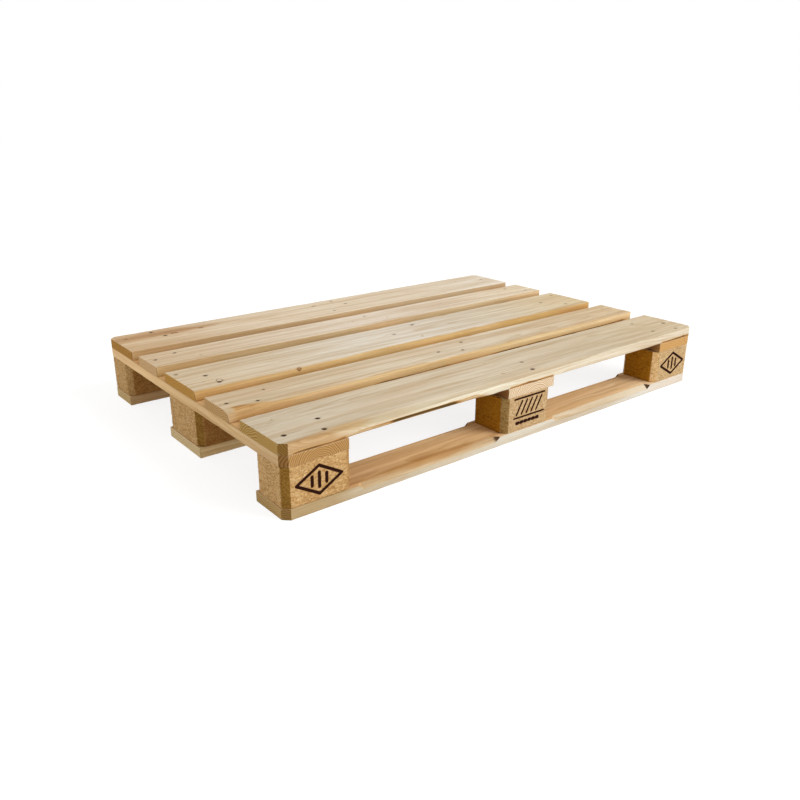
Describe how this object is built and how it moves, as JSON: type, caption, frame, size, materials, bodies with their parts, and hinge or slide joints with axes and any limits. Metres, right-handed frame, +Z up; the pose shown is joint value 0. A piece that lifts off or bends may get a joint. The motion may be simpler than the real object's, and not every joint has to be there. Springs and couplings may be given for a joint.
{
  "type": "wooden pallet",
  "caption": "Flat wooden four-way pallet: deck boards on crossing stringer boards, pressed-chip blocks and long bottom boards, all nailed.",
  "frame": {"origin": "middle of the pallet's footprint, on the ground", "axes": "+X along the length (1200 mm), +Y across the width (800 mm), +Z up through the deck"},
  "size_m": [1.2, 0.8, 0.144],
  "materials": {
    "deck_pine": "sawn, unpainted, dry and pale",
    "stringer_pine": "sawn, unpainted, warm tan",
    "pressed_chips": "pressed wood chips, matt and speckled",
    "bottom_pine": "sawn, unpainted, warm tan on top and pale on the edges",
    "nail_steel": "dull and slightly rusted"
  },
  "bodies": {
    "root": {"deck_board_near_edge": "deck_pine", "deck_board_near_inner": "deck_pine", "deck_board_centre": "deck_pine", "deck_board_far_inner": "deck_pine", "deck_board_far_edge": "deck_pine", "stringer_board_left": "stringer_pine", "stringer_board_middle": "stringer_pine", "stringer_board_right": "stringer_pine", "block_left_near": "pressed_chips", "block_left_centre": "pressed_chips", "block_left_far": "pressed_chips", "block_middle_near": "pressed_chips", "block_middle_centre": "pressed_chips", "block_middle_far": "pressed_chips", "block_right_near": "pressed_chips", "block_right_centre": "pressed_chips", "block_right_far": "pressed_chips", "bottom_board_near": "bottom_pine", "bottom_board_centre": "bottom_pine", "bottom_board_far": "bottom_pine", "deck_nails_long": "nail_steel", "deck_nails_short": "nail_steel", "bottom_nails": "nail_steel"}
  },
  "joints": []
}
